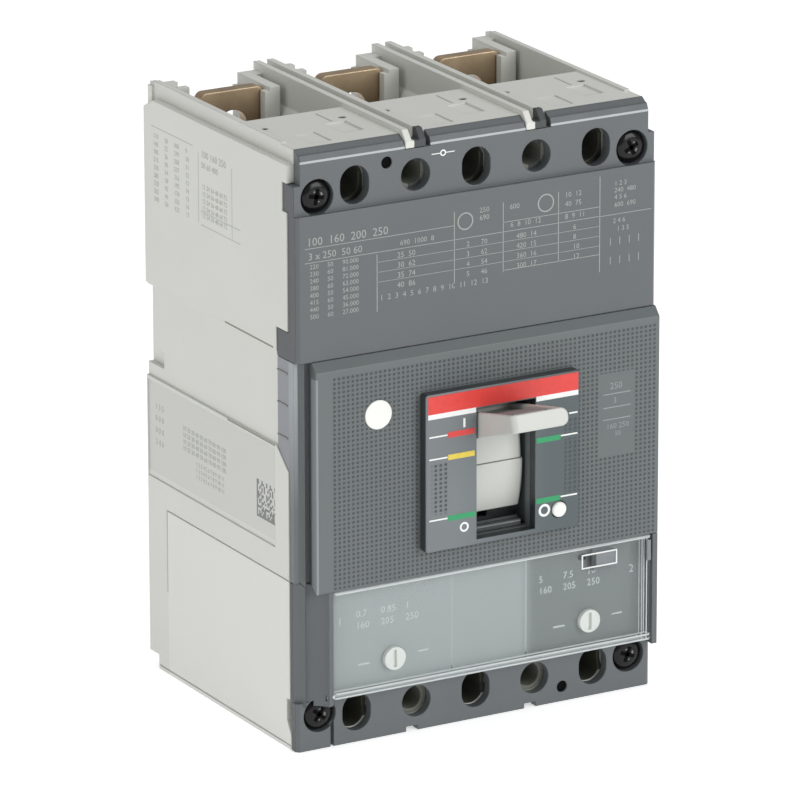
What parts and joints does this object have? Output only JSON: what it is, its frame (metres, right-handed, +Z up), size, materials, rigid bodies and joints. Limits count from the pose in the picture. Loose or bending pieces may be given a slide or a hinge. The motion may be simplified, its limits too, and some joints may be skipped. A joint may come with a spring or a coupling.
{
  "type": "molded case circuit breaker",
  "caption": "Molded case breaker with pole terminals, front toggle, adjustable trip unit under a clear hinged cover, and a complete contact mechanism inside.",
  "frame": {"origin": "centre of the four fixing holes on the back mounting plane", "axes": "+Z up, with the line terminals at the top; +X to the right of someone facing the front; +Y into the mounting panel"},
  "size_m": [0.105, 0.1028, 0.1588],
  "materials": {
    "housing_grey": "fine moulded texture, light warm grey",
    "cover_grey": "satin moulded plastic, dark blue-grey",
    "fascia_grey": "satin moulded plastic, dark grey",
    "bezel_grey": "satin moulded plastic with printed colour bands",
    "shield_grey": "plain moulded plastic",
    "trip_grey": "satin moulded plastic, mid grey",
    "screw_black": "black oxide, slightly glossy",
    "white_plastic": "smooth white",
    "clear": "clear polycarbonate, polished",
    "seal_plastic": "smooth grey",
    "handle_white": "smooth off-white",
    "steel": "zinc-plated",
    "spring_steel": "drawn wire",
    "bar_bronze": "tarnished brown bronze",
    "copper": "bare copper",
    "bimetal": "rolled strip",
    "silver_contact": "silver alloy",
    "armature_steel": "zinc-plated",
    "arc_steel": "copper-washed steel",
    "fibre_board": "red-brown fibre",
    "moulding_dark": "black glass-filled moulding"
  },
  "bodies": {
    "housing": {"base_case": "housing_grey", "terminal_ends": "housing_grey", "upper_cover": "cover_grey", "front_fascia": "fascia_grey", "lower_cover": "cover_grey", "cover_screws": "screw_black", "escutcheon": "bezel_grey", "inspection_disc": "white_plastic", "slot_shield": "shield_grey", "trip_unit_case": "trip_grey", "line_terminal_left": "bar_bronze", "line_terminal_centre": "bar_bronze", "line_terminal_right": "bar_bronze", "load_terminal_left": "bar_bronze", "load_terminal_centre": "bar_bronze", "load_terminal_right": "bar_bronze", "thermal_strip_left": "bimetal", "thermal_strip_centre": "bimetal", "thermal_strip_right": "bimetal", "braid_left": "copper", "braid_centre": "copper", "braid_right": "copper", "magnet_yokes": "steel", "arc_plates_left": "arc_steel", "arc_plates_centre": "arc_steel", "arc_plates_right": "arc_steel", "arc_cheeks": "fibre_board", "fixed_contacts": "silver_contact", "armature_pins": "steel", "toggle_pin": "steel", "mechanism_plates": "steel", "mechanism_pins": "steel", "cradle_shaft": "steel", "button_spring": "spring_steel", "trip_spring": "spring_steel"},
    "toggle": {"toggle": "handle_white", "handle_yoke": "steel", "main_spring": "spring_steel"},
    "crossbar": {"crossbar": "moulding_dark", "contact_arm_left": "copper", "contact_arm_centre": "copper", "contact_arm_right": "copper", "moving_contacts": "silver_contact", "contact_springs": "spring_steel", "lever_pin": "steel"},
    "lower_link": {"lower_link": "steel", "knee_pin": "steel"},
    "cradle": {"cradle": "steel", "cradle_pin": "steel"},
    "upper_link": {"upper_link": "steel"},
    "trip_bar": {"trip_bar": "moulding_dark", "calibration_screws": "steel"},
    "armature_left": {"armature_left": "armature_steel"},
    "armature_centre": {"armature_centre": "armature_steel"},
    "armature_right": {"armature_right": "armature_steel"},
    "dial_left": {"adjuster_dial_left": "white_plastic"},
    "dial_right": {"adjuster_dial_right": "white_plastic"},
    "trip_button": {"trip_button": "white_plastic"},
    "clear_cover": {"clear_cover": "clear"},
    "seal_slider": {"seal_slider": "seal_plastic"}
  },
  "joints": [
    {"name": "toggle_hinge", "type": "hinge", "parent": "housing", "child": "toggle", "pos_m": [0, -0.039, -0.0095], "axis": [1, 0, 0], "range_deg": [0, 31], "deforming": ["main_spring"]},
    {"name": "crossbar_hinge", "type": "hinge", "parent": "housing", "child": "crossbar", "pos_m": [0, -0.024, -0.018], "axis": [1, 0, 0], "range_deg": [0, 35], "deforming": ["braid_left", "braid_centre", "braid_right"]},
    {"name": "lower_link_hinge", "type": "hinge", "parent": "crossbar", "child": "lower_link", "pos_m": [0.0114, -0.022, -0.006], "axis": [-1, 0, 0], "range_deg": [0, 66.62]},
    {"name": "cradle_hinge", "type": "hinge", "parent": "housing", "child": "cradle", "pos_m": [0.0127, -0.05, 0.016], "axis": [-1, 0, 0], "range_deg": [0, 5]},
    {"name": "upper_link_hinge", "type": "hinge", "parent": "cradle", "child": "upper_link", "pos_m": [0.01, -0.06, 0.002], "axis": [1, 0, 0], "range_deg": [0, 22.59]},
    {"name": "trip_bar_hinge", "type": "hinge", "parent": "housing", "child": "trip_bar", "pos_m": [0, -0.05, -0.042], "axis": [1, 0, 0], "range_deg": [0, 10], "stiffness_Nm_per_rad": 0.05, "springref_deg": -5.73, "deforming": ["trip_spring"]},
    {"name": "armature_left_hinge", "type": "hinge", "parent": "housing", "child": "armature_left", "pos_m": [-0.035, -0.031, -0.039], "axis": [1, 0, 0], "range_deg": [0, 8], "stiffness_Nm_per_rad": 0.02, "springref_deg": -5.73},
    {"name": "armature_centre_hinge", "type": "hinge", "parent": "housing", "child": "armature_centre", "pos_m": [0, -0.031, -0.039], "axis": [1, 0, 0], "range_deg": [0, 8], "stiffness_Nm_per_rad": 0.02, "springref_deg": -5.73},
    {"name": "armature_right_hinge", "type": "hinge", "parent": "housing", "child": "armature_right", "pos_m": [0.035, -0.031, -0.039], "axis": [1, 0, 0], "range_deg": [0, 8], "stiffness_Nm_per_rad": 0.02, "springref_deg": -5.73},
    {"name": "dial_left_turn", "type": "hinge", "parent": "housing", "child": "dial_left", "pos_m": [-0.0245, -0.0793, -0.0566], "axis": [0, -1, 0], "range_deg": [-60, 60]},
    {"name": "dial_right_turn", "type": "hinge", "parent": "housing", "child": "dial_right", "pos_m": [0.0332, -0.0793, -0.0566], "axis": [0, -1, 0], "range_deg": [-60, 60]},
    {"name": "trip_button_push", "type": "slide", "parent": "housing", "child": "trip_button", "axis": [0, 1, 0], "range_m": [0, 0.0025], "stiffness_N_per_m": 300, "springref_m": -0.001, "deforming": ["button_spring"]},
    {"name": "clear_cover_hinge", "type": "hinge", "parent": "housing", "child": "clear_cover", "pos_m": [0, -0.0812, -0.0633], "axis": [1, 0, 0], "range_deg": [0, 100]},
    {"name": "seal_slide", "type": "slide", "parent": "clear_cover", "child": "seal_slider", "axis": [-1, 0, 0], "range_m": [0, 0.003]}
  ],
  "couplings": [
    {"joint": "crossbar_hinge", "follows": "toggle_hinge", "ratio": 1.129},
    {"joint": "lower_link_hinge", "follows": "toggle_hinge", "ratio": 2.1486},
    {"joint": "upper_link_hinge", "follows": "toggle_hinge", "ratio": 0.7285},
    {"joint": "cradle_hinge", "follows": "trip_bar_hinge", "ratio": 0.5}
  ]
}
